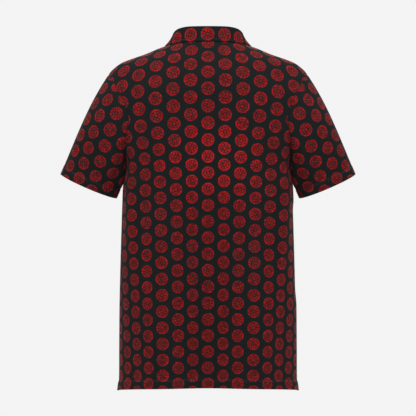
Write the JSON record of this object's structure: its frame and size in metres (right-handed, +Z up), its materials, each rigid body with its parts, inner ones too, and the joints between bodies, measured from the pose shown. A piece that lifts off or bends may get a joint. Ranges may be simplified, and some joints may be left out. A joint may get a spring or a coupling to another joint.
{
  "type": "golf shirt",
  "caption": "Short-sleeved golf shirt in its worn form, with a turned-down collar, buttoned placket, set-in sleeves and an all-over print.",
  "frame": {"origin": "between the two shoulder points, level with where the collar meets the top of the shoulders", "axes": "+Z up, towards the wearer's head; -Y out of the front of the shirt; +X towards the wearer's left sleeve"},
  "size_m": [0.6188, 0.2501, 0.7636],
  "materials": {
    "printed_jersey": "matt knitted jersey, near black with an all-over print of red rosettes",
    "printed_collar": "two layers of the same printed jersey, fused and pressed",
    "button": "satin, moulded"
  },
  "bodies": {
    "root": {"back": "printed_jersey", "front": "printed_jersey", "sleeve_left": "printed_jersey", "sleeve_right": "printed_jersey", "collar": "printed_collar", "placket_upper": "printed_collar", "placket_under": "printed_collar", "button_1": "button", "button_2": "button", "button_3": "button"}
  },
  "joints": []
}
